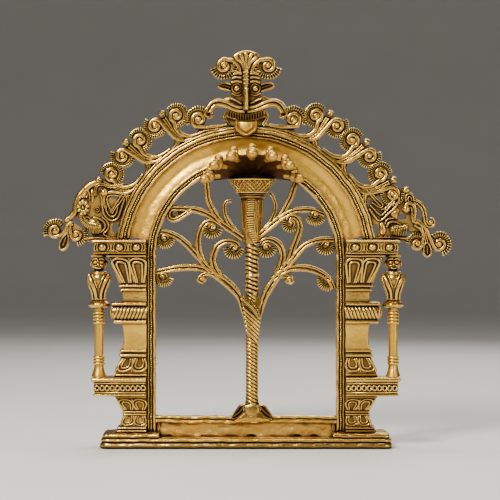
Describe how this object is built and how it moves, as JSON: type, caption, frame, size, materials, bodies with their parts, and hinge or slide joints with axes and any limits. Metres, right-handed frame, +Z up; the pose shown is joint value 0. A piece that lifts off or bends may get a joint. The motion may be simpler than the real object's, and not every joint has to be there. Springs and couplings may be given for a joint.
{
  "type": "prabhavali",
  "caption": "Free-standing cast brass aureole: a round arch on pillars over a base, crested with scrolls and a lion face, framing a tree and a many-headed serpent.",
  "frame": {"origin": "middle of the base slab's underside", "axes": "+X to the right seen from the front, the front faces -Y, +Z up"},
  "size_m": [0.269, 0.0518, 0.264],
  "materials": {
    "antique_brass": "cast, rubbed bright on the ridges with dark patina in the recesses",
    "polished_brass": "filed smooth and softly polished",
    "dark_brass": "rough cast skin, left dark and unpolished"
  },
  "bodies": {
    "root": {"base_slab": "antique_brass", "parapet_frame": "antique_brass", "panel_plate": "dark_brass", "pillar_foot_left": "antique_brass", "corbel_left": "antique_brass", "pillar_lotus_left": "antique_brass", "pillar_shaft_left": "polished_brass", "rope_band_left": "antique_brass", "pillar_capital_left": "antique_brass", "abacus_left": "antique_brass", "colonnette_left": "polished_brass", "attendant_left": "antique_brass", "jamb_left": "antique_brass", "pillar_foot_right": "antique_brass", "corbel_right": "antique_brass", "pillar_lotus_right": "antique_brass", "pillar_shaft_right": "polished_brass", "rope_band_right": "antique_brass", "pillar_capital_right": "antique_brass", "abacus_right": "antique_brass", "colonnette_right": "polished_brass", "attendant_right": "antique_brass", "jamb_right": "antique_brass", "inner_arch_rim": "antique_brass", "arch_band": "polished_brass", "outer_arch_moulding": "antique_brass", "crest_scroll_left_1": "antique_brass", "crest_scroll_left_2": "antique_brass", "crest_scroll_left_3": "antique_brass", "half_scroll_left": "antique_brass", "crest_scroll_right_1": "antique_brass", "crest_scroll_right_2": "antique_brass", "crest_scroll_right_3": "antique_brass", "half_scroll_right": "antique_brass", "makara_left": "antique_brass", "makara_tail_left": "antique_brass", "makara_right": "antique_brass", "makara_tail_right": "antique_brass", "kirtimukha_face": "antique_brass", "kirtimukha_plume": "antique_brass", "kirtimukha_jaw": "antique_brass", "kirtimukha_tongue": "polished_brass", "trunk_foot": "antique_brass", "trunk": "antique_brass", "serpent_coils": "antique_brass", "serpent_neck": "antique_brass", "hood_collar": "antique_brass", "serpent_hood": "dark_brass", "serpent_heads": "polished_brass", "bough_left": "antique_brass", "low_branch_left": "antique_brass", "mid_branch_left": "antique_brass", "outer_branch_left": "antique_brass", "upper_branch_left": "antique_brass", "bough_right": "antique_brass", "low_branch_right": "antique_brass", "mid_branch_right": "antique_brass", "outer_branch_right": "antique_brass", "upper_branch_right": "antique_brass"}
  },
  "joints": []
}
